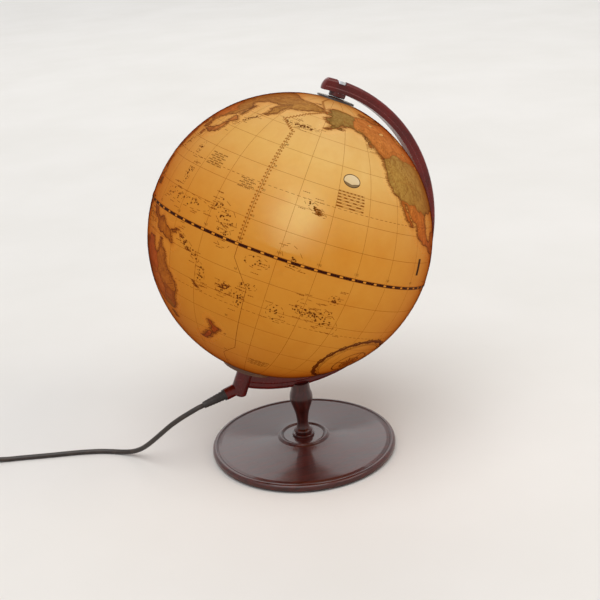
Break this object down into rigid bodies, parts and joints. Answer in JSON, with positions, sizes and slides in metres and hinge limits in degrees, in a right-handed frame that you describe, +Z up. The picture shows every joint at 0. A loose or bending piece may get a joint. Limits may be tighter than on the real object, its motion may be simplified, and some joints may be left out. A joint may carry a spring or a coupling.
{
  "type": "illuminated globe",
  "caption": "Lit desk globe with a printed map, turning in a tilted semi-meridian arm on a turned stem and round plinth, with a mains lead and cord switch.",
  "frame": {"origin": "centre of the plinth's felt foot, on the surface that it stands on", "axes": "+Z up; the arm stands in the XZ plane and the north pole leans 23.5 degrees towards +X"},
  "size_m": [0.644, 0.3008, 0.4134],
  "materials": {
    "felt": "dense wool felt",
    "lacquered_wood": "turned beech, dark red-brown stain under gloss lacquer",
    "arm_plastic": "moulded, dark red-brown, polished",
    "spacer_plastic": "turned, mid brown",
    "zinc_steel": "zinc-plated",
    "pin_steel": "polished",
    "brass": "drawn tube and pressed contacts",
    "ivory_plastic": "translucent off-white moulding",
    "black_phenolic": "moulded phenolic",
    "lamp_cap": "rolled screw cap",
    "lamp_glass": "thin blown glass, lightly frosted",
    "filament": "wound wire on two supports",
    "lit_shell": "thin translucent plastic with a printed map",
    "seam_tape": "printed black and gold tape",
    "dial_plastic": "black disc with gold print",
    "cord_sheath": "smooth dark brown vinyl",
    "gland_rubber": "soft black",
    "switch_plastic": "moulded, dark brown",
    "rocker_plastic": "moulded, cream",
    "tie_plastic": "flat vinyl strap",
    "plug_plastic": "moulded, dark brown",
    "plug_brass": "nickel-plated brass"
  },
  "bodies": {
    "stand": {"felt_pad": "felt", "base_plinth": "lacquered_wood", "stem": "lacquered_wood", "tie_bolt": "zinc_steel", "tie_washer": "zinc_steel", "tie_nut": "zinc_steel", "meridian_arm": "arm_plastic", "top_pin": "pin_steel", "top_spacer": "spacer_plastic", "lamp_tube": "brass", "tube_nut": "brass", "bearing_plug": "ivory_plastic", "lamp_holder": "black_phenolic", "socket_shell": "brass", "centre_contact": "brass", "bulb_cap": "lamp_cap", "bulb_glass": "lamp_glass", "bulb_filament": "filament", "inner_lead": "cord_sheath", "cord_gland": "gland_rubber", "cord_run": "cord_sheath", "switch_base": "switch_plastic", "switch_cover": "switch_plastic", "switch_screws": "zinc_steel", "cord_link": "cord_sheath", "cord_coil": "cord_sheath", "coil_tie": "tie_plastic", "cord_tail": "cord_sheath", "plug_body": "plug_plastic", "plug_pins": "plug_brass"},
    "globe": {"north_hemisphere": "lit_shell", "south_hemisphere": "lit_shell", "joining_ring": "ivory_plastic", "equator_band": "seam_tape", "north_ferrule": "ivory_plastic", "south_ferrule": "ivory_plastic"},
    "hour_dial": {"hour_dial": "dial_plastic"},
    "rocker": {"switch_rocker": "rocker_plastic"}
  },
  "joints": [
    {"name": "globe_spin", "type": "hinge", "parent": "stand", "child": "globe", "pos_m": [0, 0, 0.252], "axis": [0.3987, 0, 0.9171], "continuous": true},
    {"name": "hour_dial_turn", "type": "hinge", "parent": "globe", "child": "hour_dial", "pos_m": [0, 0, 0.252], "axis": [0.3987, 0, 0.9171], "continuous": true},
    {"name": "rocker_tilt", "type": "hinge", "parent": "stand", "child": "rocker", "pos_m": [-0.383, 0.133, 0.0106], "axis": [0, 1, 0], "range_deg": [0, 18]}
  ]
}
